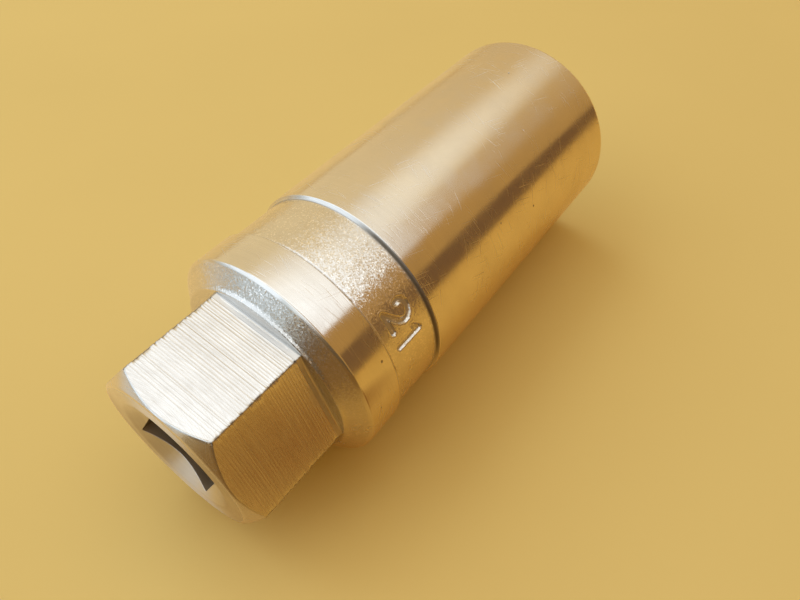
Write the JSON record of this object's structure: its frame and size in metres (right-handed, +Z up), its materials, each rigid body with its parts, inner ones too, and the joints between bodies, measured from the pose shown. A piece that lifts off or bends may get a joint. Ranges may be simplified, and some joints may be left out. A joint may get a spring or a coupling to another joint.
{
  "type": "spark plug socket",
  "caption": "Deep spark plug socket with an outer spanner hexagon, a square drive recess, a deep plug hexagon and a pull-out rubber gripping sleeve.",
  "frame": {"origin": "middle of the socket's length, on the flat surface that the socket lies on", "axes": "+X along the socket's axis, from the drive end to the plug mouth; +Z up as it lies"},
  "size_m": [0.07, 0.028, 0.028],
  "materials": {
    "chrome": "bright chrome plate on turned faces, satin on the forged band, shoulder and tool-marked hexagon",
    "rubber": "matt moulded black rubber"
  },
  "bodies": {
    "socket": {"socket_body": "chrome"},
    "insert": {"rubber_insert": "rubber"}
  },
  "joints": [
    {"name": "insert_slide", "type": "slide", "parent": "socket", "child": "insert", "axis": [1, 0, 0], "range_m": [0, 0.05125]}
  ]
}
